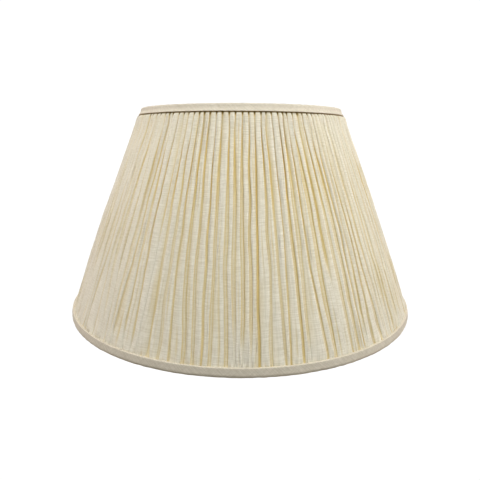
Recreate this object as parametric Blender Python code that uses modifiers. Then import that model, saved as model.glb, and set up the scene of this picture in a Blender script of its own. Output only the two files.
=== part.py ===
"""Gathered empire lamp shade: a welded wire frame with a washer spider, taped rings, a cloth lining inside
the ribs, a gathered cloth cover outside them and a folded binding round each rim.

Metres, +Z up. The shade stands on its bottom rim at z = 0 and the Z axis is its axis of symmetry.
Cloth pieces are simple closed solids of the right size and place.
"""

import math

import bmesh
import bpy
from mathutils import Matrix, Vector

MM = 0.001

# Overall size, over the two bindings.
HEIGHT = 230.0 * MM
BOTTOM_RADIUS = 203.2 * MM
TOP_RADIUS = 114.3 * MM
COVER_BULGE = 2.6 * MM  # how far the gathered side stands outside a straight line, halfway up

# Wire frame.
RIB_COUNT = 8
ARM_COUNT = 3
ARM_ANGLE = 90.0  # degrees, of the first arm
RING_WIRE = 1.6 * MM  # radius
RIB_WIRE = 1.2 * MM
ARM_WIRE = 1.6 * MM
BOTTOM_RING_R = 196.3 * MM  # centre line of the ring wire
TOP_RING_R = 109.6 * MM
RING_INSET = 4.0 * MM  # from the rim of the shade to the ring's centre line
SPIDER_DROP = 12.7 * MM  # from the top ring down to where the arms meet the washer

# Spider washer.
WASHER_RADIUS = 19.05 * MM
WASHER_HOLE_R = 5.56 * MM
WASHER_THICK = 2.0 * MM
WASHER_BEVEL = 0.3 * MM
ARM_END_R = 12.0 * MM  # the arms stop here, clear of the finial's seat

# Cloth, measured square to the slanting side, from the centre line of the ribs.
GAP = 0.3 * MM
TAPE_INNER = RING_WIRE + GAP
TAPE_OUTER = 2.5 * MM
LINING_NEAR = 2.85 * MM
LINING_FAR = 3.65 * MM
COVER_NEAR = 2.85 * MM
COVER_EDGE = 4.0 * MM  # outer face of the cover where a binding clasps it
BINDING_WALL = 1.2 * MM
BINDING_NEAR = COVER_EDGE + GAP
BINDING_FAR = BINDING_NEAR + BINDING_WALL
LIP_NEAR = LINING_FAR + GAP
LIP_FAR = LIP_NEAR + BINDING_WALL
BINDING_DEPTH_BOTTOM = 8.5 * MM
BINDING_DEPTH_TOP = 7.5 * MM
LIP_DEPTH = 5.5 * MM
CLOTH_END = BINDING_WALL + 0.4 * MM  # cloth stops this far inside the rim
ROUNDING = 1.5 * MM

STEPS = 72  # flats round every turned piece, the same for all so that the gaps stay even
WIRE_SIDES = 8
RUN = HEIGHT - 2 * RING_INSET
SLOPE = (BOTTOM_RING_R - TOP_RING_R) / RUN
COS_TILT = 1 / math.sqrt(1 + SLOPE * SLOPE)


def clear_scene():
    for old in list(bpy.data.objects):
        bpy.data.objects.remove(old, do_unlink=True)
    for old in list(bpy.data.collections):
        bpy.data.collections.remove(old)


def new_collection(name, hidden=False):
    made = bpy.data.collections.new(name)
    made.hide_render = hidden
    bpy.context.scene.collection.children.link(made)
    return made


def new_material(name, colour, roughness, metallic):
    made = bpy.data.materials.new(name)
    made.use_nodes = True
    shader = made.node_tree.nodes["Principled BSDF"]
    shader.inputs["Base Color"].default_value = (*colour, 1.0)
    shader.inputs["Roughness"].default_value = roughness
    shader.inputs["Metallic"].default_value = metallic
    made.diffuse_color = (*colour, 1.0)
    return made


def side_radius(height, offset):
    """Radius at a height, for a face this far outside the ribs' centre line, square to the side."""
    return BOTTOM_RING_R - SLOPE * (height - RING_INSET) + offset / COS_TILT


def side_point(height, offset):
    return (side_radius(height, offset), height)


def circle_points(centre, radius, clockwise=True):
    turn = -1 if clockwise else 1
    points = []
    for k in range(WIRE_SIDES):
        angle = turn * 2 * math.pi * k / WIRE_SIDES
        points.append((centre[0] + radius * math.cos(angle), centre[1] + radius * math.sin(angle)))
    return points


def baked(obj):
    """Replaces the object's data by its evaluated mesh, with doubles welded and sharp corners marked."""
    bpy.context.view_layer.update()
    graph = bpy.context.evaluated_depsgraph_get()
    mesh = bpy.data.meshes.new_from_object(obj.evaluated_get(graph))
    name = obj.name
    collection = obj.users_collection[0]
    place = obj.matrix_world.copy()
    materials = list(obj.data.materials)
    bpy.data.objects.remove(obj, do_unlink=True)
    work = bmesh.new()
    work.from_mesh(mesh)
    bmesh.ops.remove_doubles(work, verts=work.verts, dist=0.000002)
    work.to_mesh(mesh)
    work.free()
    mesh.materials.clear()
    for used in materials:
        mesh.materials.append(used)
    mesh.shade_smooth()
    mesh.set_sharp_from_angle(angle=math.radians(38))
    made = bpy.data.objects.new(name, mesh)
    made.matrix_world = place
    collection.objects.link(made)
    return made


def turned(name, loops, collection, material):
    """A solid of revolution: each closed loop of (radius, height) runs down its outer side."""
    vertices = []
    edges = []
    for loop in loops:
        first = len(vertices)
        for radius, height in loop:
            vertices.append((radius, 0.0, height))
        for k in range(len(loop)):
            edges.append((first + k, first + (k + 1) % len(loop)))
    mesh = bpy.data.meshes.new(name)
    mesh.from_pydata(vertices, edges, [])
    mesh.materials.append(material)
    obj = bpy.data.objects.new(name, mesh)
    collection.objects.link(obj)
    screw = obj.modifiers.new("turn", "SCREW")
    screw.axis = "Z"
    screw.angle = 2 * math.pi
    screw.steps = STEPS
    screw.render_steps = STEPS
    screw.use_merge_vertices = True
    screw.merge_threshold = 0.00002
    return baked(obj)


def rod_mesh(name, start, end, radius, sides):
    """A straight round rod between two points, closed at both ends."""
    along = Vector(end) - Vector(start)
    middle = (Vector(end) + Vector(start)) / 2
    turn = Vector((0, 0, 1)).rotation_difference(along.normalized()).to_matrix().to_4x4()
    work = bmesh.new()
    bmesh.ops.create_cone(
        work,
        cap_ends=True,
        segments=sides,
        radius1=radius,
        radius2=radius,
        depth=along.length,
        matrix=Matrix.Translation(middle) @ turn,
    )
    mesh = bpy.data.meshes.new(name)
    work.to_mesh(mesh)
    work.free()
    return mesh


def turned_about_axis(mesh, degrees):
    mesh.transform(Matrix.Rotation(math.radians(degrees), 4, "Z"))


def place(name, mesh, collection, material):
    mesh.materials.append(material)
    mesh.shade_smooth()
    mesh.set_sharp_from_angle(angle=math.radians(50))
    obj = bpy.data.objects.new(name, mesh)
    collection.objects.link(obj)
    return obj


def cut(target, cutters):
    """Cuts one joined set of cutters from the target and bakes the result."""
    boolean = target.modifiers.new("cut", "BOOLEAN")
    boolean.operation = "DIFFERENCE"
    boolean.solver = "EXACT"
    boolean.object = cutters
    return baked(target)


def joined_cutters(name, meshes, collection):
    work = bmesh.new()
    for mesh in meshes:
        work.from_mesh(mesh)
    joined = bpy.data.meshes.new(name)
    work.to_mesh(joined)
    work.free()
    obj = bpy.data.objects.new(name, joined)
    obj.hide_render = True
    obj.display_type = "WIRE"
    collection.objects.link(obj)
    return obj


def rib_ends():
    """The rib's two end points at angle 0, a gap short of each ring's wire."""
    low = Vector((BOTTOM_RING_R, 0, RING_INSET))
    high = Vector((TOP_RING_R, 0, HEIGHT - RING_INSET))
    along = (high - low).normalized()
    clear = RING_WIRE + GAP
    return low + along * clear, high - along * clear


def rib_angles():
    return [360.0 * k / RIB_COUNT for k in range(RIB_COUNT)]


def arm_angles():
    return [(ARM_ANGLE + 360.0 * k / ARM_COUNT) % 360 for k in range(ARM_COUNT)]


def add_rings(collection, material):
    turned("bottom_ring", [circle_points((BOTTOM_RING_R, RING_INSET), RING_WIRE)], collection, material)
    top_centre = (TOP_RING_R, HEIGHT - RING_INSET)
    turned("top_ring", [circle_points(top_centre, RING_WIRE)], collection, material)


def add_ribs(collection, material):
    low, high = rib_ends()
    for number, angle in enumerate(rib_angles(), 1):
        mesh = rod_mesh(f"rib_{number}", low, high, RIB_WIRE, WIRE_SIDES)
        turned_about_axis(mesh, angle)
        place(f"rib_{number}", mesh, collection, material)


def arm_path():
    """The arm's centre line at angle 0: level out of the ring, sloping down, level again on the washer."""
    ring_z = HEIGHT - RING_INSET
    end_z = ring_z - SPIDER_DROP
    return [
        (TOP_RING_R - RING_WIRE - GAP, 0, ring_z),
        (TOP_RING_R - 10 * MM, 0, ring_z),
        (TOP_RING_R - 13 * MM, 0, ring_z - 0.35 * MM),
        (27 * MM, 0, end_z + 0.35 * MM),
        (24 * MM, 0, end_z),
        (ARM_END_R, 0, end_z),
    ]


def add_arms(collection, material):
    for number, angle in enumerate(arm_angles(), 1):
        curve = bpy.data.curves.new(f"spider_arm_{number}", "CURVE")
        curve.dimensions = "3D"
        curve.bevel_depth = ARM_WIRE
        curve.bevel_resolution = 4
        curve.use_fill_caps = True
        path = arm_path()
        spline = curve.splines.new("POLY")
        spline.points.add(len(path) - 1)
        for point, where in zip(spline.points, path):
            point.co = (*where, 1.0)
        curve.materials.append(material)
        obj = bpy.data.objects.new(f"spider_arm_{number}", curve)
        obj.rotation_euler.z = math.radians(angle)
        collection.objects.link(obj)
        baked(obj)


def add_washer(collection, material):
    top = HEIGHT - RING_INSET - SPIDER_DROP - ARM_WIRE - GAP
    base = top - WASHER_THICK
    profile = [
        (WASHER_HOLE_R, top),
        (WASHER_RADIUS - WASHER_BEVEL, top),
        (WASHER_RADIUS, top - WASHER_BEVEL),
        (WASHER_RADIUS, base + WASHER_BEVEL),
        (WASHER_RADIUS - WASHER_BEVEL, base),
        (WASHER_HOLE_R, base),
    ]
    turned("spider_washer", [profile], collection, material)


def rib_cutters(at_top):
    """Clearance rods round the rib ends, to pass each rib through a ring's tape."""
    low, high = rib_ends()
    along = (high - low).normalized()
    meshes = []
    for angle in rib_angles():
        if at_top:
            ends = (high + along * 0.5 * MM, high - along * 4 * MM)
        else:
            ends = (low - along * 0.5 * MM, low + along * 4 * MM)
        mesh = rod_mesh("rib_clearance", ends[0], ends[1], RIB_WIRE + 1.2 * GAP, 12)
        turned_about_axis(mesh, angle)
        meshes.append(mesh)
    return meshes


def arm_cutters(start_r, end_r):
    """Clearance rods round the spider arms, between two radii at the height of the top ring."""
    meshes = []
    height = HEIGHT - RING_INSET
    for angle in arm_angles():
        ends = ((start_r, 0, height), (end_r, 0, height))
        mesh = rod_mesh("arm_clearance", ends[0], ends[1], ARM_WIRE + 1.2 * GAP, 16)
        turned_about_axis(mesh, angle)
        meshes.append(mesh)
    return meshes


def add_tapes(collection, cutter_collection, material):
    for name, radius, height in (
        ("bottom_ring_tape", BOTTOM_RING_R, RING_INSET),
        ("top_ring_tape", TOP_RING_R, HEIGHT - RING_INSET),
    ):
        outside = circle_points((radius, height), TAPE_OUTER)
        inside = circle_points((radius, height), TAPE_INNER, clockwise=False)
        tape = turned(name, [outside, inside], collection, material)
        at_top = name == "top_ring_tape"
        meshes = rib_cutters(at_top)
        if at_top:
            meshes += arm_cutters(TOP_RING_R - 1.3 * MM, TOP_RING_R - 5 * MM)
        cut(tape, joined_cutters(name + "_cutters", meshes, cutter_collection))


def add_lining(collection, cutter_collection, material):
    """The smooth inner cloth, stretched from ring to ring inside the ribs."""
    low = CLOTH_END
    high = HEIGHT - CLOTH_END
    profile = [
        side_point(high, -LINING_NEAR),
        side_point(low, -LINING_NEAR),
        side_point(low, -LINING_FAR),
        side_point(high, -LINING_FAR),
    ]
    lining = turned("lining", [profile], collection, material)
    meshes = arm_cutters(TOP_RING_R, TOP_RING_R - 8 * MM)
    cut(lining, joined_cutters("lining_cutters", meshes, cutter_collection))


def cover_outside(height):
    """Radius over the crests of the gathers, from rim to rim."""
    share = height / HEIGHT
    straight = BOTTOM_RADIUS + (TOP_RADIUS - BOTTOM_RADIUS) * share
    return straight + COVER_BULGE * 4 * share * (1 - share)


def add_cover(collection, material):
    """The gathered outer cloth, as one shell over the crests: clasped thin by each binding."""
    low = CLOTH_END
    high = HEIGHT - CLOTH_END
    top_clasp = HEIGHT - BINDING_DEPTH_TOP - GAP
    bottom_clasp = BINDING_DEPTH_BOTTOM + GAP
    profile = [
        side_point(high, COVER_EDGE),
        side_point(top_clasp, COVER_EDGE),
        (cover_outside(top_clasp) - 1.1 * MM, top_clasp - 0.5 * MM),
        (cover_outside(top_clasp - 5 * MM) - 0.3 * MM, top_clasp - 5 * MM),
    ]
    for height in (206, 180, 150, 115, 80, 50, 25):
        profile.append((cover_outside(height * MM), height * MM))
    profile += [
        (cover_outside(bottom_clasp), bottom_clasp + 0.6 * MM),
        side_point(bottom_clasp, COVER_EDGE),
        side_point(low, COVER_EDGE),
        (side_radius(RING_INSET, COVER_NEAR), low),
        side_point(RING_INSET, COVER_NEAR),
        side_point(HEIGHT - RING_INSET, COVER_NEAR),
        (side_radius(HEIGHT - RING_INSET, COVER_NEAR), high),
    ]
    turned("cover", [profile], collection, material)


def add_bottom_binding(collection, material):
    """A folded bias strip: up the outside over the cover, under the ring and a short way up inside."""
    profile = [
        side_point(BINDING_DEPTH_BOTTOM, BINDING_FAR),
        side_point(ROUNDING, BINDING_FAR),
        (side_radius(ROUNDING, BINDING_FAR) - 0.4 * MM, 0.5 * MM),
        (side_radius(0, BINDING_FAR) - 1.6 * MM, 0.0),
        (side_radius(0, -LIP_FAR) + 1.3 * MM, 0.0),
        side_point(1.0 * MM, -LIP_FAR),
        side_point(LIP_DEPTH, -LIP_FAR),
        side_point(LIP_DEPTH, -LIP_NEAR),
        side_point(BINDING_WALL, -LIP_NEAR),
        side_point(BINDING_WALL, BINDING_NEAR),
        side_point(BINDING_DEPTH_BOTTOM, BINDING_NEAR),
    ]
    turned("bottom_binding", [profile], collection, material)


def add_top_binding(collection, cutter_collection, material):
    """The same strip turned over the top ring, snipped where each spider arm passes."""
    profile = [
        side_point(HEIGHT - LIP_DEPTH, -LIP_FAR),
        side_point(HEIGHT - 1.0 * MM, -LIP_FAR),
        (side_radius(HEIGHT, -LIP_FAR) + 1.3 * MM, HEIGHT),
        (side_radius(HEIGHT, BINDING_FAR) - 0.9 * MM, HEIGHT),
        side_point(HEIGHT - ROUNDING, BINDING_FAR),
        side_point(HEIGHT - BINDING_DEPTH_TOP, BINDING_FAR),
        side_point(HEIGHT - BINDING_DEPTH_TOP, BINDING_NEAR),
        side_point(HEIGHT - BINDING_WALL, BINDING_NEAR),
        side_point(HEIGHT - BINDING_WALL, -LIP_NEAR),
        side_point(HEIGHT - LIP_DEPTH, -LIP_NEAR),
    ]
    binding = turned("top_binding", [profile], collection, material)
    meshes = arm_cutters(TOP_RING_R, TOP_RING_R - 9 * MM)
    cut(binding, joined_cutters("top_binding_cutters", meshes, cutter_collection))


def build():
    clear_scene()
    shade = new_collection("lamp_shade")
    cutters = new_collection("cutters", hidden=True)
    wire = new_material("frame_wire", (0.80, 0.79, 0.75), 0.42, 0.0)
    plate = new_material("washer_plate", (0.78, 0.77, 0.73), 0.38, 0.0)
    tape = new_material("ring_tape", (0.80, 0.76, 0.66), 0.9, 0.0)
    lining = new_material("lining_cloth", (0.84, 0.80, 0.70), 0.8, 0.0)
    cover = new_material("cover_cloth", (0.72, 0.65, 0.48), 0.88, 0.0)
    binding = new_material("binding_cloth", (0.70, 0.65, 0.52), 0.86, 0.0)
    add_rings(shade, wire)
    add_ribs(shade, wire)
    add_arms(shade, wire)
    add_washer(shade, plate)
    add_tapes(shade, cutters, tape)
    add_lining(shade, cutters, lining)
    add_cover(shade, cover)
    add_bottom_binding(shade, binding)
    add_top_binding(shade, cutters, binding)


build()
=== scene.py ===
"""Looks of a gathered empire lamp shade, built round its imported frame."""

import math

import bpy
import numpy as np
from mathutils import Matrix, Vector


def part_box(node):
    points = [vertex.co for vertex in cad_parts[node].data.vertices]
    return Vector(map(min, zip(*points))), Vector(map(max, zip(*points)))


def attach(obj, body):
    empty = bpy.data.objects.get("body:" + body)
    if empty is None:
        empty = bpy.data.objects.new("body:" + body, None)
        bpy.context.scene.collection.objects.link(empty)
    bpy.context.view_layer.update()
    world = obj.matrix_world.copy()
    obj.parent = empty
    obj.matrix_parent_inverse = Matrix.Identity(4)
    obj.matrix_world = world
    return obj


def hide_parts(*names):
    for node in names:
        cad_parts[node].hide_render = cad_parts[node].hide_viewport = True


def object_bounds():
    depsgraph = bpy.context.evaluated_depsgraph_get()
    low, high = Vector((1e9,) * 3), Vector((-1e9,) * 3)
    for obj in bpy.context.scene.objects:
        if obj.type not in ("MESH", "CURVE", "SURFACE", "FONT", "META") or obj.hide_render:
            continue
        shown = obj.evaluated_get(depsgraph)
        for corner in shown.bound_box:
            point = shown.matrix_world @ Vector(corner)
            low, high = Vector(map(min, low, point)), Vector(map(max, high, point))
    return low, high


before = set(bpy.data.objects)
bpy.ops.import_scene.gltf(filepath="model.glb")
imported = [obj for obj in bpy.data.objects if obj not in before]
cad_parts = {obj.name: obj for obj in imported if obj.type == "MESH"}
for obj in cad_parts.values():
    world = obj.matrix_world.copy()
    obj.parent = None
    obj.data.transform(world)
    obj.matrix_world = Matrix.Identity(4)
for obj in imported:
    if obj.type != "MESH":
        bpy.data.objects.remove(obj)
CAD_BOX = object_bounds()
MM = 0.001

# ------------------------------------------------------------------------------------------------
# Sizes, from the frame's own solids
# ------------------------------------------------------------------------------------------------

RING_WIRE = 1.6 * MM  # radius


def ring_centre(name):
    """Radius and height of the centre line of a wire ring."""
    low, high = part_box(name)
    return high.x - RING_WIRE, (low.z + high.z) / 2


HEIGHT = CAD_BOX[1].z
RIM_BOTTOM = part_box("bottom_binding")[1].x
RIM_TOP = 114.3 * MM
BOTTOM_BINDING_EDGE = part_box("bottom_binding")[1].z
TOP_BINDING_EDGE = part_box("top_binding")[0].z
BOTTOM_RING = ring_centre("bottom_ring")
TOP_RING = ring_centre("top_ring")
SLOPE = (BOTTOM_RING[0] - TOP_RING[0]) / (TOP_RING[1] - BOTTOM_RING[1])
TILT = math.atan(SLOPE)
BULGE = 2.6 * MM  # of the gathered side outside a straight line, halfway up


def side_radius(height, offset):
    """Radius of a face this far outside the ribs' centre line, measured square to the side."""
    return BOTTOM_RING[0] - SLOPE * (height - BOTTOM_RING[1]) + offset / math.cos(TILT)


def crest_radius(height):
    """Radius over the crests of the gathers: a straight line between the rims, bulged a little."""
    share = height / HEIGHT
    return RIM_BOTTOM + (RIM_TOP - RIM_BOTTOM) * share + BULGE * 4 * share * (1 - share)


# ------------------------------------------------------------------------------------------------
# Small helpers
# ------------------------------------------------------------------------------------------------


def linear(code):
    """An sRGB hex colour as linear RGBA."""
    channels = [int(code[k:k + 2], 16) / 255 for k in (1, 3, 5)]
    return tuple(c / 12.92 if c <= 0.04045 else ((c + 0.055) / 1.055) ** 2.4
                 for c in channels) + (1.0,)


def add_node(tree, kind, settings=None, inputs=None):
    """Adds a node, sets its settings, and links or sets its inputs."""
    node = tree.nodes.new(kind)
    for name, value in (settings or {}).items():
        setattr(node, name, value)
    for name, value in (inputs or {}).items():
        if isinstance(value, bpy.types.NodeSocket):
            tree.links.new(value, node.inputs[name])
        else:
            node.inputs[name].default_value = value
    return node


def new_material(name):
    """An empty material with one surface shader, and its tree and shader."""
    material = bpy.data.materials.new(name)
    material.use_nodes = True
    return material, material.node_tree, material.node_tree.nodes["Principled BSDF"]


def smooth_ramp(x, low, high):
    """0 below low, 1 above high, eased at both ends."""
    t = np.clip((x - low) / (high - low), 0, 1)
    return t * t * (3 - 2 * t)


def between_knots(shares, knots, values):
    """Values at each share of the height: one column per pleat, eased between rows of values."""
    place = np.interp(shares, knots, np.arange(len(knots)))
    first = np.clip(place.astype(int), 0, len(knots) - 2)
    t = place - first
    t = (t * t * (3 - 2 * t))[:, None]
    return values[first] * (1 - t) + values[first + 1] * t


def sheet_object(name, points, loops_round, material, uv, attributes=None):
    """A grid of points, rows x columns x 3, as one open sheet; its columns close into a ring if
    loops_round. On a ring, uv has one column more than points, so that the last face doesn't run
    backwards."""
    rows, columns, _ = points.shape
    index = np.arange(rows * columns).reshape(rows, columns)
    if loops_round:
        right = np.roll(index, -1, axis=1)
    else:
        right = index[:, 1:]
        index = index[:, :-1]
    faces = np.stack([index[:-1], right[:-1], right[1:], index[1:]], axis=-1).reshape(-1, 4)
    mesh = bpy.data.meshes.new(name)
    mesh.from_pydata(points.reshape(-1, 3).tolist(), [], faces.tolist())

    across = uv.shape[1]
    corner = np.arange(rows * across).reshape(rows, across)
    corners = np.stack([corner[:-1, :-1], corner[:-1, 1:], corner[1:, 1:], corner[1:, :-1]],
                       axis=-1).reshape(-1)
    layer = mesh.uv_layers.new(name="cloth")
    layer.data.foreach_set("uv", uv.reshape(-1, 2)[corners].astype(np.float32).reshape(-1))
    for label, values in (attributes or {}).items():
        layer = mesh.attributes.new(label, "FLOAT", "POINT")
        layer.data.foreach_set("value", values.reshape(-1).astype(np.float32))

    mesh.shade_smooth()
    mesh.materials.append(material)
    mesh.update()
    obj = bpy.data.objects.new(name, mesh)
    bpy.context.scene.collection.objects.link(obj)
    return obj


# ------------------------------------------------------------------------------------------------
# Materials
# ------------------------------------------------------------------------------------------------

WAVE_REPEAT = 0.314  # a wave texture of scale 1 repeats after this much of its coordinate


def cloth_pattern(tree, thread, slub_length, slub_width, angle=0.0):
    """Weave and slubs of a plain cloth, on the piece's own UV map, in metres of flat cloth.

    Returns two sockets, each about 0 to 1: the weave's height, and the slubs, which are thick
    places in the threads, mostly in the weft that runs round the shade and fainter in the warp
    that runs down it.
    """
    place = add_node(tree, "ShaderNodeUVMap", {"uv_map": "cloth"})
    turned = add_node(tree, "ShaderNodeMapping", {"vector_type": "POINT"},
                      {"Vector": place.outputs["UV"], "Rotation": (0, 0, angle)})
    across, along = (
        add_node(tree, "ShaderNodeTexWave", {"wave_type": "BANDS", "bands_direction": direction},
                 {"Vector": turned.outputs["Vector"], "Scale": WAVE_REPEAT / thread,
                  "Distortion": distortion, "Detail": 1.0, "Detail Scale": 0.6})
        for direction, distortion in (("X", 1.2), ("Y", 1.6)))
    weave = add_node(tree, "ShaderNodeMath", {"operation": "MULTIPLY"},
                     {0: across.outputs["Fac"], 1: along.outputs["Fac"]})
    threads = []
    for scale in ((1 / slub_length, 1 / slub_width, 1), (1 / slub_width, 1 / slub_length, 1)):
        stretched = add_node(tree, "ShaderNodeMapping", {"vector_type": "POINT"},
                             {"Vector": turned.outputs["Vector"], "Scale": scale})
        threads.append(add_node(tree, "ShaderNodeTexNoise", {"noise_dimensions": "2D"},
                                {"Vector": stretched.outputs["Vector"], "Scale": 1.0,
                                 "Detail": 2.0, "Roughness": 0.7}))
    weft, warp = threads
    slub = add_node(tree, "ShaderNodeMix", {"data_type": "FLOAT"},
                    {"Factor": 0.36, 2: weft.outputs["Fac"], 3: warp.outputs["Fac"]})
    return weave.outputs[0], slub.outputs[0]


def linen_material(name, pale, deep, angle=0.0, crease=None, gap=None, wrinkled=False,
                   underside_shade=None):
    """Slubbed linen and cotton, undyed: matt, with fine uneven threads that catch the light.

    Creases get painted shade in a richer tan, from the "fold" attribute, for the light that has
    passed between two layers and turns warm; a darker painted shadow lies where the cloth goes in
    under its binding, from a second attribute. Undersides get a painted warmer shade, for being
    lit only by what the cloth sends back.
    """
    material, tree, shader = new_material(name)
    # The real threads are about 0.4 mm apart, too fine to show, so they are drawn at twice that.
    thread, slub_length, slub_width = 0.85 * MM, 13 * MM, 0.8 * MM
    weave, slub = cloth_pattern(tree, thread, slub_length, slub_width, angle)
    tone = add_node(tree, "ShaderNodeMapRange", {},
                    {"Value": slub, "From Min": 0.36, "From Max": 0.64})
    base = add_node(tree, "ShaderNodeMix", {"data_type": "RGBA"},
                    {"Factor": tone.outputs["Result"], 6: linear(deep), 7: linear(pale)})
    colour = base.outputs[2]
    # Painted shade tints the creases tan, and a darker painted shadow lies where the cloth goes in
    # under the top binding.
    for label, code in (("fold", crease), ("tuck_shadow", gap)):
        if code:
            amount = add_node(tree, "ShaderNodeAttribute", {"attribute_name": label})
            mixed = add_node(tree, "ShaderNodeMix", {"data_type": "RGBA"},
                             {"Factor": amount.outputs["Fac"], 6: colour, 7: linear(code)})
            colour = mixed.outputs[2]
    # Painted warmer shade on faces that turn downward.
    if underside_shade:
        facing = add_node(tree, "ShaderNodeNewGeometry")
        parts = add_node(tree, "ShaderNodeSeparateXYZ", {}, {"Vector": facing.outputs["Normal"]})
        downward_shade = add_node(tree, "ShaderNodeMapRange", {"interpolation_type": "SMOOTHSTEP"},
                            {"Value": parts.outputs["Z"], "From Min": 0.1, "From Max": -0.85})
        mixed = add_node(tree, "ShaderNodeMix", {"data_type": "RGBA"},
                         {"Factor": downward_shade.outputs["Result"], 6: colour,
                          7: linear(underside_shade)})
        colour = mixed.outputs[2]
    tree.links.new(colour, shader.inputs["Base Color"])

    height = add_node(tree, "ShaderNodeMath", {"operation": "MULTIPLY_ADD"},
                      {0: slub, 1: 1.5, 2: weave})
    bump = add_node(tree, "ShaderNodeBump", {},
                    {"Height": height.outputs[0], "Strength": 0.6, "Distance": 0.14 * MM})
    if wrinkled:
        # Long fine wrinkles, where the cloth is pulled down tight between the rings.
        pitch, length = 2.6 * MM, 110 * MM
        place = add_node(tree, "ShaderNodeUVMap", {"uv_map": "cloth"})
        pulled = add_node(tree, "ShaderNodeMapping", {"vector_type": "POINT"},
                          {"Vector": place.outputs["UV"], "Scale": (1 / pitch, 1 / length, 1)})
        wrinkle = add_node(tree, "ShaderNodeTexNoise", {"noise_dimensions": "2D"},
                           {"Vector": pulled.outputs["Vector"], "Scale": 1.0, "Detail": 1.5,
                            "Roughness": 0.5})
        bump = add_node(tree, "ShaderNodeBump", {},
                        {"Height": wrinkle.outputs["Fac"], "Strength": 0.9,
                         "Distance": 0.9 * MM, "Normal": bump.outputs["Normal"]})
    tree.links.new(bump.outputs["Normal"], shader.inputs["Normal"])
    shader.inputs["Roughness"].default_value = 0.92
    shader.inputs["Specular IOR Level"].default_value = 0.25
    shader.inputs["Sheen Weight"].default_value = 0.08
    shader.inputs["Sheen Roughness"].default_value = 0.5
    return material


def lining_material():
    """Thin smooth lining cloth: pale, with a soft satin sheen and barely any weave."""
    material, tree, shader = new_material("lining_pale_satin")
    weave, slub = cloth_pattern(tree, thread=0.7 * MM, slub_length=5 * MM,
                                slub_width=0.8 * MM)
    colour = add_node(tree, "ShaderNodeMix", {"data_type": "RGBA"},
                      {"Factor": slub, 6: linear("#EDE7DA"), 7: linear("#F3EEE2")})
    tree.links.new(colour.outputs[2], shader.inputs["Base Color"])
    bump = add_node(tree, "ShaderNodeBump", {},
                    {"Height": weave, "Strength": 0.2, "Distance": 0.06 * MM})
    tree.links.new(bump.outputs["Normal"], shader.inputs["Normal"])
    shader.inputs["Roughness"].default_value = 0.6
    shader.inputs["Sheen Weight"].default_value = 0.2
    return material


def tape_material():
    """Plain cotton tape, matt, with a coarse even weave."""
    material, tree, shader = new_material("cotton_ring_tape")
    weave, _ = cloth_pattern(tree, thread=0.8 * MM, slub_length=4 * MM, slub_width=1.0 * MM)
    colour = add_node(tree, "ShaderNodeMix", {"data_type": "RGBA"},
                      {"Factor": weave, 6: linear("#D8D0BC"), 7: linear("#EBE5D6")})
    tree.links.new(colour.outputs[2], shader.inputs["Base Color"])
    bump = add_node(tree, "ShaderNodeBump", {},
                    {"Height": weave, "Strength": 0.5, "Distance": 0.15 * MM})
    tree.links.new(bump.outputs["Normal"], shader.inputs["Normal"])
    shader.inputs["Roughness"].default_value = 0.95
    return material


def enamel_material(name, code, roughness):
    """Steel dipped in white enamel: a hard, faintly uneven gloss that pools a little and hides
    the metal."""
    material, tree, shader = new_material(name)
    place = add_node(tree, "ShaderNodeTexCoord")
    # About 4 mm from one pool to the next.
    pool = add_node(tree, "ShaderNodeTexNoise", {},
                    {"Vector": place.outputs["Object"], "Scale": 260.0, "Detail": 2.0})
    tint = add_node(tree, "ShaderNodeMix", {"data_type": "RGBA"},
                    {"Factor": pool.outputs["Fac"], 6: linear(code), 7: linear("#F4F2EC")})
    tree.links.new(tint.outputs[2], shader.inputs["Base Color"])
    rough = add_node(tree, "ShaderNodeMapRange", {},
                     {"Value": pool.outputs["Fac"],
                      "To Min": roughness - 0.08, "To Max": roughness + 0.1})
    tree.links.new(rough.outputs["Result"], shader.inputs["Roughness"])
    bump = add_node(tree, "ShaderNodeBump", {},
                    {"Height": pool.outputs["Fac"], "Strength": 0.3, "Distance": 0.1 * MM})
    tree.links.new(bump.outputs["Normal"], shader.inputs["Normal"])
    shader.inputs["IOR"].default_value = 1.5
    return material


# The tan and the dark brown of the cover are painted crease shade and painted shadow under the top
# binding; the binding's third colour is painted shade on its undersides.
cover_linen = linen_material("cover_slubbed_linen", "#F2EBD9", "#DED5BE",
                             crease="#DABD67", gap="#7A6230", wrinkled=True)
binding_linen = linen_material("binding_bias_linen", "#E4DAC7", "#D1C6B0",
                               angle=math.radians(45), underside_shade="#CDB581")
lining_cloth = lining_material()
ring_tape = tape_material()
wire_enamel = enamel_material("white_enamelled_wire", "#E4E1D8", 0.35)
washer_enamel = enamel_material("white_enamelled_washer", "#DEDBD2", 0.3)

for name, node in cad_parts.items():
    if name.startswith(("rib_", "spider_arm_")) or name in ("bottom_ring", "top_ring"):
        finish = wire_enamel
    elif name == "spider_washer":
        finish = washer_enamel
    else:
        continue
    for slot in node.material_slots:
        slot.material = finish

# ------------------------------------------------------------------------------------------------
# The gathered cover
# ------------------------------------------------------------------------------------------------

PLEATS = 140
SEED = 20
FLAT_WIDTH = 1.68  # metres of cloth gathered round the whole shade
COLUMNS = 20  # across one pleat: half a valley, a ridge, half a valley
CLEAR_ROWS = slice(5, -5)  # rows of the cover's grid that are clear of both bindings
ANY_PHASE = 6.28  # end of the range that a wave's phase is drawn from
ARCH = 0.5 * MM  # how far the middle of a ridge stands above its shoulders
SHOULDER = 0.9 * MM  # most that a ridge rounds down at its edge, before the wall drops
CLASP_TOP = 4.0 * MM  # outer face of the cover under each binding, from the ribs' centre line
CLASP_BOTTOM = 4.1 * MM
ROUND_TOP = 3.4 * MM  # height over which the gathers round in to each binding
ROUND_BOTTOM = 7 * MM
PUFF = 1.2 * MM  # how far the gathers swell just below the top binding, and over what height
PUFF_HEIGHT = 9 * MM
PUCKER = 1.5 * MM  # how far a pucker stands out above the bottom binding, and how high it goes
PUCKER_HEIGHT = 3.4 * MM


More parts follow.
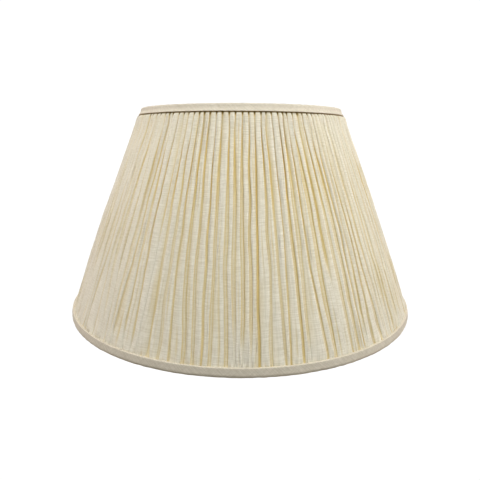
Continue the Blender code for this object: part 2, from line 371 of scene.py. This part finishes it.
def cover_heights():
    """Rows of the cover's grid: close together by the bindings, far apart along the folds."""
    low = BOTTOM_BINDING_EDGE
    high = TOP_BINDING_EDGE
    under = np.array([2.2 * MM, low - 2.5 * MM, low - 0.6 * MM])
    foot = low + MM * np.array(
        [0.0, 0.6, 1.2, 2.0, 2.9, 4.0, 5.2, 6.6, 8.2, 10.0, 12.2, 15.0, 18.5])
    head = high - MM * np.array(
        [20, 16, 12.5, 9.5, 7.2, 5.4, 4.0, 3.0, 2.2, 1.6, 1.1, 0.7, 0.35, 0.1])
    body = np.linspace(foot[-1], head[0], 26)[1:-1]
    over = np.array([high + 0.5 * MM, high + 3 * MM, HEIGHT - 2.2 * MM])
    return np.concatenate([under, foot, body, head, over])


def crease_lines(random, shares):
    """Place of each crease at each height, in turns: nearly even at the top, uneven lower down."""
    # Spread of the logarithm of a gather's width.
    top = random.normal(0, 0.13, PLEATS)
    middle = 0.5 * top + random.normal(0, 0.20, PLEATS)
    bottom = 0.55 * middle + random.normal(0, 0.34, PLEATS)
    widths = np.exp(between_knots(shares, [0.0, 0.45, 1.0], np.array([bottom, middle, top])))
    even = np.arange(PLEATS) / PLEATS
    drift = (np.cumsum(widths, axis=1) - widths) / widths.sum(axis=1, keepdims=True) - even
    # Folds run nearly straight down, so most of the drift shared by neighbours is taken out.
    neighbours = np.arange(-8, 9)
    weights = np.exp(-(neighbours / 4.0) ** 2)
    weights /= weights.sum()
    slow = sum(weight * np.roll(drift, k, axis=1) for weight, k in zip(weights, neighbours))
    wander = between_knots(shares, np.linspace(0, 1, 9),
                           random.normal(0, 0.05 / PLEATS, (9, PLEATS)))
    place = even + drift - 0.85 * slow + wander
    # The gathers are looser on the left of the front than on the right.
    uneven, middle_turn = 0.16, 0.55
    return place + uneven / (2 * math.pi) * np.sin(2 * math.pi * (place - middle_turn))


def next_one(values):
    """The same values for the crease on the other side of each ridge."""
    return np.roll(values, -1, axis=1)


def valley_shapes(random, heights, pitch):
    """The valley at each crease, for each height: half width, depth, painted shade on its floor
    and on its edge, and how high an inner ridge stands in it."""
    shares = heights / HEIGHT
    above_foot = heights - BOTTOM_BINDING_EDGE
    under_binding = np.maximum(TOP_BINDING_EDGE - heights, 0)[:, None]
    around = np.arange(PLEATS) / PLEATS
    loose = np.clip(np.cos(2 * math.pi * (around - 0.57)), 0, 1) ** 2
    tight = np.clip(np.cos(2 * math.pi * (around - 0.88)), 0, 1) ** 2

    own = random.normal(0, 1, PLEATS)
    local = between_knots(shares, [0, 0.12, 0.3, 0.55, 0.8, 1.0],
                          random.normal(0, 1, (6, PLEATS)))
    median = np.interp(shares, [0, 0.12, 0.45, 0.8, 0.93, 1.0],
                       [1.15, 1.2, 1.2, 0.52, 0.18, 0.12]) * MM
    median = median[:, None] * (1 - 0.3 * loose + 0.2 * tight)[None]
    spread = np.interp(shares, [0, 0.3, 0.8, 1.0], [0.52, 0.52, 0.40, 0.15])
    half = median * np.exp(spread[:, None] * (0.7 * own[None] + 0.5 * local))

    # Most creases run into the bottom binding, some fade out just above it, a few end higher.
    kind = random.uniform(0, 1, PLEATS)
    runs_in, ends_high = 0.72, 0.94
    end = np.where(kind < runs_in, -60 * MM, random.uniform(0, 12, PLEATS) * MM)
    end = np.where(kind > ends_high, random.uniform(14, 90, PLEATS) * MM, end)
    fade = random.uniform(12, 40, PLEATS) * MM
    alive = smooth_ramp(above_foot[:, None], end[None], (end + fade)[None])
    softness = (0.35 * random.beta(1.2, 2.2, PLEATS)[None]
                * (1 - smooth_ramp(shares, 0.35, 0.9))[:, None])
    slack = 0.32 * loose + 0.15 * tight + 0.3 * np.cos(2 * math.pi * around) ** 2
    slack = slack[None] * (1 - 0.8 * smooth_ramp(shares, 0.5, 0.95))[:, None]
    strength = alive * (1 - softness - slack)
    widest = np.interp(shares, [0, 0.15, 0.4, 1.0], [0.18, 0.20, 0.26, 0.26])[:, None]
    half = np.clip(half * (0.35 + 0.65 * alive), 0.12 * MM,
                   widest * np.minimum(pitch, np.roll(pitch, 1, axis=1)))

    depth = np.interp(shares, [0, 0.3, 0.7, 0.88, 1.0], [1.8, 2.0, 2.8, 2.4, 2.0])[:, None]
    depth = depth * MM * strength * (1 - 0.3 * smooth_ramp(half, 0.6 * MM, 1.6 * MM))
    ridged = random.uniform(0, 1, PLEATS) < 0.45
    inner = (np.where(ridged, random.uniform(0.25, 0.6, PLEATS), 0)[None]
             * smooth_ramp(half, 0.55 * MM, 1.0 * MM))

    # Just under the top binding the gathers part into small dark gaps.
    half = half + 1.3 * MM * np.exp(-under_binding / (2.2 * MM))

    # Painted warm shade: strongest along a valley's edges, less on a wide floor and a little less
    # near the top.
    near_top = (smooth_ramp(shares, 0.75, 0.95)[:, None]
                * smooth_ramp(under_binding, 1 * MM, 6 * MM))
    edge = strength * (1 - 0.3 * near_top)
    floor_shade = edge * (1 - 0.42 * smooth_ramp(half, 0.6 * MM, 1.5 * MM))
    return half, depth, floor_shade, edge, inner


def cover_surface(random, heights):
    """The cover's grid: angle, height outward and painted crease shade of every point. Each pleat
    runs from the crease on its left to the next, across half a valley, a ridge and half a valley."""
    shares = heights / HEIGHT
    lines = crease_lines(random, shares)
    after = next_one(lines)
    after[:, -1] += 1
    girth = 2 * math.pi * crest_radius(heights)[:, None]
    pitch = girth * (after - lines)
    left = valley_shapes(random, heights, pitch)
    right = tuple(next_one(values) for values in left)
    half, depth, _, edge, _ = left
    half_r, depth_r, _, edge_shade_r, _ = right

    # Slow changes of each ridge down the side.
    ridge = pitch - half - half_r
    rounding = np.minimum(1.5 * MM, 0.25 * ridge)
    knots = [0.0, 0.1, 0.25, 0.45, 0.7, 0.9, 1.0]
    size = (len(knots), PLEATS)
    lift = between_knots(shares, knots, random.normal(0, 1, size))
    tilt = between_knots(shares, knots, random.normal(0, 1, size))
    seat = between_knots(shares, knots, np.clip(random.normal(0.5, 0.05, size), 0.42, 0.58))
    lean = between_knots(shares, knots, 0.08 + 0.35 * random.normal(0, 1, PLEATS)
                         + random.normal(0, 0.3, size))
    groove = between_knots(shares, knots, random.uniform(-1.0, 1.0, size))
    groove = np.clip(groove, 0, 1) * smooth_ramp(ridge, 3.6 * MM, 6 * MM)
    # How much painted shade the shoulders of each ridge get: less near the top.
    shade = (0.8 - 0.4 * smooth_ramp(shares, 0.6, 0.9))[:, None]

    # The last value of each column, fold, is its painted crease shade.
    profile = []  # (distance from the crease on the left, height outward, fold) of each column

    def valley(shape, share, from_left):
        """A point on a valley's floor, at this share of the way from its crease to its wall."""
        own_half, own_depth, own_floor_shade, own_edge_shade, own_inner = shape
        at_wall = share >= 0.9
        place = share * own_half if from_left else pitch - share * own_half
        rise = own_inner * max(0.0, 1 - share / 0.8)
        out = -own_depth * (1 - rise) * (0.97 if at_wall else 1.0)
        # Painted shade: full along the valley's edge, less on its floor and on an inner ridge.
        profile.append((place, out, own_edge_shade if at_wall else own_floor_shade * (1 - 0.6 * rise)))

    def wall(shape, from_left):
        """A point a third of the way down the wall between a shoulder and a valley."""
        own_half, own_depth, _, own_edge_shade, _ = shape
        shoulder = np.minimum(SHOULDER, 0.45 * own_depth)
        place = own_half if from_left else pitch - own_half
        # Painted shade on the wall, a little less than along the valley's edge.
        profile.append((place, -(shoulder + 0.35 * (own_depth - shoulder)), 0.85 * own_edge_shade))

    def on_ridge(from_left):
        """A point on the ridge: both shoulders round down, and the middle arches and may hold a
        shallow groove."""
        out = 0
        fold = 0
        for distance, own_depth, own_edge_shade, own_lean in (
                (from_left, depth, edge, lean), (ridge - from_left, depth_r, edge_shade_r, -lean)):
            x = np.clip(distance / (1.35 * rounding), 0, 1)
            drop = 1 - np.sqrt(1 - (1 - x) ** 2)
            out = out - np.minimum(SHOULDER, 0.45 * own_depth) * drop
            rounded = np.clip(1 - distance / (0.5 * rounding), 0, 1)
            # Painted shade on each shoulder, next to its valley.
            fold = fold + shade * own_edge_shade * rounded ** 2
            # A leaning fold slopes gently down on one side, and gets painted warm shade where it
            # is lower.
            sloping = np.clip(1 - distance / (0.85 * ridge), 0, 1)
            slope = np.clip(own_lean, 0, 1) * sloping ** 1.4
            out = out - 0.75 * own_depth * slope
            fold = fold + 0.6 * own_edge_shade * slope
        share = from_left / ridge
        arch = 1 - (2 * share - 1) ** 2
        in_groove = np.clip(
            1 - np.abs(from_left - seat * ridge) / (0.14 * ridge + 0.3 * MM), 0, 1)
        out = out + ARCH * arch + 0.30 * MM * lift + 0.8 * MM * tilt * (share - 0.5)
        out = out - 0.8 * MM * groove * in_groove ** 1.5
        # Painted shade in the groove.
        fold = np.clip(fold + 0.7 * groove * in_groove ** 2, 0, 1)
        profile.append((half + from_left, out, fold))

    for share in (0.0, 0.5, 0.9):
        valley(left, share, True)
    wall(left, True)
    for share in (0.08, 0.35, 0.75, 1.2):
        on_ridge(share * rounding)
    near = np.minimum(0.45 * MM, 0.1 * ridge)
    for place in (seat * ridge - 0.16 * ridge, seat * ridge - near, seat * ridge,
                  seat * ridge + near, seat * ridge + 0.16 * ridge):
        on_ridge(place)
    for share in (1.2, 0.75, 0.35, 0.08):
        on_ridge(ridge - share * rounding)
    wall(right, False)
    for share in (0.9, 0.5):
        valley(right, share, False)

    rows = len(heights)
    place, outward, fold = (
        np.stack(values, axis=-1).reshape(rows, -1) for values in zip(*profile))
    turn = 2 * math.pi * (np.repeat(lines, COLUMNS, axis=1) + place / girth)
    return turn, outward, fold


def clasped(heights, radius_out):
    """Rounds the cover into both bindings, which press it flat. Between them it is full."""
    clasp_top = side_radius(heights, CLASP_TOP)[:, None]
    clasp_bottom = side_radius(heights, CLASP_BOTTOM)[:, None]
    from_top = TOP_BINDING_EDGE - heights[:, None]
    from_bottom = heights[:, None] - BOTTOM_BINDING_EDGE
    round_top = np.sqrt(1 - (1 - np.clip((from_top + 0.25 * MM) / ROUND_TOP, 0, 1)) ** 2)
    round_bottom = 1 - (1 - np.clip((from_bottom + 0.3 * MM) / ROUND_BOTTOM, 0, 1)) ** 2
    at_top = clasp_top + (radius_out - clasp_top) * round_top
    at_bottom = clasp_bottom + (radius_out - clasp_bottom) * round_bottom
    return np.where(heights[:, None] > HEIGHT / 2, at_top, at_bottom)


def puckers(random, heights, turn):
    """Small sharp gathers where the cloth is caught at the bottom, fanning out upwards, in
    uneven patches. Five sets, each of so many round the shade, cross each other."""
    above_foot = np.maximum(heights[:, None] - BOTTOM_BINDING_EDGE, 0)
    total = 0
    for count in (223, 257, 293, 331, 371):
        phase = (random.uniform(0, ANY_PHASE)
                 + 2.5 * np.sin(19 * turn + random.uniform(0, ANY_PHASE)))
        fan = random.uniform(-320, 320) * above_foot
        patches = int(random.randint(15, 60))
        patch = smooth_ramp(np.sin(patches * turn + random.uniform(0, ANY_PHASE)), -0.9, 0.6)
        total = total + patch * (0.5 + 0.5 * np.sin(count * turn + phase + fan)) ** 5
    reach = np.exp(-(above_foot / PUCKER_HEIGHT) ** 1.3)
    return np.where(heights[:, None] < BOTTOM_BINDING_EDGE - 1 * MM, 0,
                    PUCKER * np.minimum(total, 1) * reach)


def add_cover():
    """Two lengths of cloth, front and back, gathered together and seamed in a fold at each
    side."""
    random = np.random.RandomState(SEED)
    heights = cover_heights()
    turn, outward, fold = cover_surface(random, heights)

    # Slow unevenness of the flats: waves round the shade, turning a few times on the way up.
    shares = heights / HEIGHT
    for count, along, size in ((37, 9, 0.10), (61, 14, 0.08), (23, 5, 0.12)):
        phase = random.uniform(0, ANY_PHASE)
        outward += size * MM * np.sin(
            count * turn + along * shares[:, None] * 2 * math.pi + phase)

    crest = crest_radius(heights)
    below_top = np.maximum(TOP_BINDING_EDGE - heights, 0)
    puff = PUFF * np.exp(-(below_top / PUFF_HEIGHT) ** 2)
    radius = clasped(heights, (crest + puff)[:, None] - ARCH + outward)
    radius = radius + puckers(random, heights, turn)
    points = np.stack([radius * np.cos(turn), radius * np.sin(turn),
                       np.broadcast_to(heights[:, None], radius.shape)], axis=-1)

    # Painted shadow right under the top binding, and painted shade a little further down inside
    # the folds.
    under_binding = (TOP_BINDING_EDGE - heights)[:, None]
    shaded_fold = smooth_ramp(fold, 0.2, 0.75)
    tuck_shadow = np.maximum(1 - smooth_ramp(under_binding, 0.5 * MM, 1.7 * MM),
                      shaded_fold * (1 - smooth_ramp(under_binding, 1.4 * MM, 4.5 * MM)))

    # Each column keeps its own thread: its place in the flat cloth is its mean run round the
    # folds.
    ring = np.concatenate([points, points[:, :1]], axis=1)
    runs = np.linalg.norm(np.diff(ring, axis=1), axis=-1)[CLEAR_ROWS].mean(axis=0)
    along_width = np.concatenate([[0], np.cumsum(runs)]) * FLAT_WIDTH / runs.sum()
    slant = np.concatenate([[0], np.cumsum(np.hypot(np.diff(heights), np.diff(crest)))])

    columns = turn.shape[1]
    half_way = columns // 2
    for name, first, last in (("gathered_cover_back", 0, half_way),
                              ("gathered_cover_front", half_way, columns)):
        chosen = np.arange(first, last + 1)
        sides = chosen % columns
        uv = np.stack(np.broadcast_arrays(along_width[chosen][None, :], slant[:, None]), axis=-1)
        piece = sheet_object(name, points[:, sides], False, cover_linen, uv,
                             {"fold": fold[:, sides], "tuck_shadow": tuck_shadow[:, sides]})
        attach(piece, "root")
        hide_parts("cover")


add_cover()

# ------------------------------------------------------------------------------------------------
# Bindings, lining and tapes: sheets turned about the shade's axis
# ------------------------------------------------------------------------------------------------

LINING_OFFSET = -3.25 * MM  # middle of the lining, from the ribs' centre line
ROUNDS = 2  # times that the corners of a binding's profile are cut


def smooth_path(points):
    """A denser path through the given (radius, height) points, rounded at its corners."""
    path = np.array(points, float)
    for _ in range(ROUNDS):
        ends = path[:1], path[-1:]
        nearer = 0.75 * path[:-1] + 0.25 * path[1:]
        farther = 0.25 * path[:-1] + 0.75 * path[1:]
        path = np.stack([nearer, farther], axis=1).reshape(-1, 2)
        path = np.concatenate([ends[0], path, ends[1]])
    return path


def turned_sheet(name, path, columns, material, ripple):
    """A sheet swept round the axis along a (radius, height) path, and its mean girth. ripple
    gives how far each point moves outward."""
    path = np.array(path)
    angle = np.linspace(0, 2 * math.pi, columns + 1)[:-1]
    run = np.concatenate([[0], np.cumsum(np.hypot(*np.diff(path, axis=0).T))])
    step = np.gradient(path, axis=0)
    step /= np.linalg.norm(step, axis=1, keepdims=True)
    moved = ripple(angle[None, :], run[:, None])
    radius = path[:, :1] + step[:, 1:] * moved
    height = path[:, 1:] - step[:, :1] * moved
    points = np.stack([radius * np.cos(angle), radius * np.sin(angle), height], axis=-1)
    girth = 2 * math.pi * path[:, 0].mean()
    uv = np.stack(np.broadcast_arrays(np.linspace(0, girth, columns + 1)[None, :],
                                      run[:, None]), axis=-1)
    return sheet_object(name, points, True, material, uv), girth


def binding_ripple(random_seed, size):
    """Slight unevenness of a hand-folded strip: a dozen slanting waves, size metres high."""
    random = np.random.RandomState(random_seed)
    waves = [(int(count), random.uniform(0, ANY_PHASE), random.uniform(0, ANY_PHASE))
             for count in random.randint(18, 150, 12)]

    def ripple(angle, run):
        total = 0
        for count, phase, along in waves:
            total = total + np.sin(count * angle + phase + 180 * run * math.sin(along))
        return size * total / 3.5

    return ripple


def add_binding(name, node, path, columns, random_seed, size):
    """A folded strip wrapped over a rim, its raw edges turned in."""
    ripple = binding_ripple(random_seed, size)
    piece, girth = turned_sheet(name, path, columns, binding_linen, ripple)
    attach(piece, "root")
    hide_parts(node)


def inner_lip(rim, inward):
    """The part of a binding inside the lining, from the rim at this height to behind its turned
    edge. inward is 1 where the shade is above the rim, and -1 where it is below."""
    # Millimetres in from the rim, where the side's slant is taken and where the point is, then
    # its offset from the ribs' centre line and how much further out it lies.
    profile = ((0, 0.05, -5.15, 2.6), (0.6, 0.5, -5.15, 0.4), (3, 3, -5.1, 0),
               (5.2, 5.2, -5.1, 0), (5.5, 5.6, -4.6, 0), (4.6, 4.6, -4.2, 0),
               (2.6, 2.6, -4.2, 0))
    return [(side_radius(rim + inward * slant * MM, offset * MM) + out * MM,
             rim + inward * depth * MM) for slant, depth, offset, out in profile]


def add_bindings():
    """Each binding's profile runs from behind its outer turned edge, over the rim, to the lip
    inside. The outer edge stands a little proud of the gathers. The bottom profile is turned
    round, so that its faces point outwards too."""
    edge = BOTTOM_BINDING_EDGE
    rim_face = crest_radius(edge) + 1.8 * MM
    bottom = smooth_path([
        (side_radius(3.2 * MM, 4.6 * MM), 3.4 * MM),
        (side_radius(edge, 4.6 * MM), edge - 0.6 * MM),
        (rim_face - 2.4 * MM, edge + 0.35 * MM),
        (rim_face - 0.8 * MM, edge + 0.55 * MM),
        (rim_face - 0.25 * MM, edge + 0.45 * MM),
        (rim_face - 0.02 * MM, edge + 0.1 * MM),
        (rim_face + 0.1 * MM, edge - 0.6 * MM),
        (0.5 * (rim_face + RIM_BOTTOM), 0.5 * edge + 0.6 * MM),
        (RIM_BOTTOM - 0.2 * MM, 3.0 * MM),
        (RIM_BOTTOM - 0.35 * MM, 1.4 * MM),
        (RIM_BOTTOM - 0.9 * MM, 0.3 * MM),
        (RIM_BOTTOM - 1.8 * MM, 0.02 * MM),
        (RIM_BOTTOM - 3.0 * MM, 0.02 * MM),
    ] + inner_lip(0, 1))[::-1]
    add_binding("bottom_binding_strip", "bottom_binding", bottom,
                columns=720, random_seed=5, size=0.10 * MM)

    edge = TOP_BINDING_EDGE
    top = smooth_path([
        (side_radius(edge + 4 * MM, 4.5 * MM), edge + 4 * MM),
        (side_radius(edge, 4.5 * MM), edge + 0.8 * MM),
        (side_radius(edge, 4.9 * MM), edge - 0.1 * MM),
        (side_radius(edge, 6.1 * MM), edge),
        (side_radius(edge, 6.2 * MM), edge + 0.8 * MM),
        (side_radius(edge + 2.4 * MM, 5.6 * MM), edge + 2.4 * MM),
        (side_radius(edge + 4.2 * MM, 5.4 * MM), edge + 4.2 * MM),
        (side_radius(HEIGHT - 1.6 * MM, 5.8 * MM), HEIGHT - 1.6 * MM),
        (side_radius(HEIGHT, 5.7 * MM) - 0.1 * MM, HEIGHT - 0.05 * MM),
        (side_radius(HEIGHT, 5.7 * MM) - 1.6 * MM, HEIGHT + 0.05 * MM),
    ] + inner_lip(HEIGHT, -1))
    add_binding("top_binding_strip", "top_binding", top,
                columns=480, random_seed=9, size=0.11 * MM)


def add_lining():
    """A smooth cone of cloth, a little uneven only where it is stitched at its two ends."""
    body = np.linspace(6 * MM, HEIGHT - 6 * MM, 30)
    heights = np.concatenate([[1.8 * MM], body, [HEIGHT - 1.8 * MM]])
    path = [(side_radius(height, LINING_OFFSET), height) for height in heights[::-1]]

    def ripple(angle, run):
        share = run / run.max()
        ends = np.exp(-share / 0.06) + np.exp(-(1 - share) / 0.06)
        waves = np.sin(83 * angle) + np.sin(131 * angle + 2) + np.sin(57 * angle + 1)
        return 0.1 * MM * ends * waves / 2

    piece, _ = turned_sheet("lining_cloth", path, 480, lining_cloth, ripple)
    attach(piece, "root")
    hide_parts("lining")


def add_tapes():
    """Tape wound on the slant round each ring, every lap a little over the one before."""
    wound_radius, lap_length, girth = 2.2 * MM, 9 * MM, 13.8 * MM
    thickness, middle = 0.22 * MM, 0.1 * MM
    turns = np.linspace(0, 2 * math.pi, 17)
    for name, ring, columns in (("bottom_ring_tape", BOTTOM_RING, 720),
                                ("top_ring_tape", TOP_RING, 432)):
        path = [(ring[0] + wound_radius * math.cos(t), ring[1] + wound_radius * math.sin(t))
                for t in turns]
        laps = round(ring[0] * 2 * math.pi / lap_length)

        def ripple(angle, run):
            lap = (laps * angle / (2 * math.pi) + run / girth) % 1
            return -thickness * lap + middle

        piece, length = turned_sheet(name + "_wound", path, columns, ring_tape, ripple)
        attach(piece, "root")
        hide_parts(name)


add_bindings()
add_lining()
add_tapes()

# ------------------------------------------------------------------------------------------------
# Floor, lights and camera
# ------------------------------------------------------------------------------------------------

WHITE = 1.05  # strength of the floor and the background where they are seen directly
WORLD_BELOW = 0.17  # strength of the light from all round, from below and from above
WORLD_ABOVE = 0.05
LIGHT_AIM = (0, 0, 0.12)
LIGHTS = (  # name, place, diameter in metres, power in watts, colour
    ("softbox_right", (1.5, -0.55, 0.55), 1.1, 4.9, "#FFF6F3"),
    ("softbox_left", (-1.5, -0.35, 0.5), 1.1, 5.5, "#FFF5F2"),
    ("softbox_above", (0.18, -0.78, 1.15), 0.8, 14.6, "#FAFEFF"),
    ("rim_right", (1.4, 0.35, 0.5), 1.1, 9, "#FFF6F3"),
    ("rim_left", (-1.4, 0.35, 0.5), 1.1, 9.5, "#FFF6F3"),
    ("softbox_behind", (-0.1, 1.5, 0.9), 1.1, 16, "#FFFFFF"),
)


def add_floor():
    """Pale paper, bright all over, which lights nothing itself. It lies a hair below zero, clear
    of the bottom binding's unevenness."""
    bpy.ops.object.select_all(action="DESELECT")
    bpy.ops.mesh.primitive_circle_add(vertices=96, radius=8.0, fill_type="NGON",
                                      location=(0, 0, -0.0002))
    floor = bpy.context.object
    floor.name = "pale_floor"
    material, _, shader = new_material("pale_floor_paper")
    shader.inputs["Base Color"].default_value = (0, 0, 0, 1)
    shader.inputs["Roughness"].default_value = 1.0
    shader.inputs["Specular IOR Level"].default_value = 0.0
    shader.inputs["Emission Color"].default_value = (1, 1, 1, 1)
    shader.inputs["Emission Strength"].default_value = WHITE
    floor.data.materials.append(material)
    floor.visible_diffuse = False
    floor.visible_glossy = False


def add_area_light(name, place, diameter, power, colour):
    """A round softbox at this place, turned towards the middle of the shade."""
    lamp = bpy.data.lights.new(name, "AREA")
    lamp.shape = "DISK"
    lamp.size = diameter
    lamp.energy = power
    lamp.color = linear(colour)[:3]
    obj = bpy.data.objects.new(name, lamp)
    obj.location = place
    aim = Vector(LIGHT_AIM) - Vector(place)
    obj.rotation_euler = aim.to_track_quat("-Z", "Y").to_euler()
    bpy.context.scene.collection.objects.link(obj)


def add_world():
    """White studio: dim light from all round, a little stronger from below, where pale paper
    sends it back, and pure white where the background is seen directly."""
    world = bpy.data.worlds.new("white_studio")
    world.use_nodes = True
    tree = world.node_tree
    background = tree.nodes["Background"]
    background.inputs["Color"].default_value = (1, 1, 1, 1)
    direction = add_node(tree, "ShaderNodeTexCoord")
    parts = add_node(tree, "ShaderNodeSeparateXYZ", {},
                     {"Vector": direction.outputs["Generated"]})
    upward = add_node(tree, "ShaderNodeMapRange", {"interpolation_type": "SMOOTHSTEP"},
                      {"Value": parts.outputs["Z"], "From Min": -0.5, "From Max": 0.6,
                       "To Min": WORLD_BELOW, "To Max": WORLD_ABOVE})
    seen = add_node(tree, "ShaderNodeLightPath")
    strength = add_node(tree, "ShaderNodeMix", {"data_type": "FLOAT"},
                        {"Factor": seen.outputs["Is Camera Ray"],
                         2: upward.outputs["Result"], 3: WHITE})
    tree.links.new(strength.outputs[0], background.inputs["Strength"])
    bpy.context.scene.world = world


def add_camera():
    """In front of the shade, just below its top rim, looking 13 degrees down."""
    lens = bpy.data.cameras.new("camera")
    lens.lens = 33.26
    lens.sensor_width = 36.0
    lens.clip_start = 0.01
    camera = bpy.data.objects.new("camera", lens)
    bpy.context.scene.collection.objects.link(camera)
    camera.location = (0, -0.5416, 0.1989)
    camera.rotation_euler = (math.radians(90 - 13.03), math.radians(-0.29), math.radians(0.116))
    bpy.context.scene.camera = camera


add_floor()
add_world()
for light in LIGHTS:
    add_area_light(*light)
add_camera()
bpy.context.scene.view_settings.view_transform = "Standard"
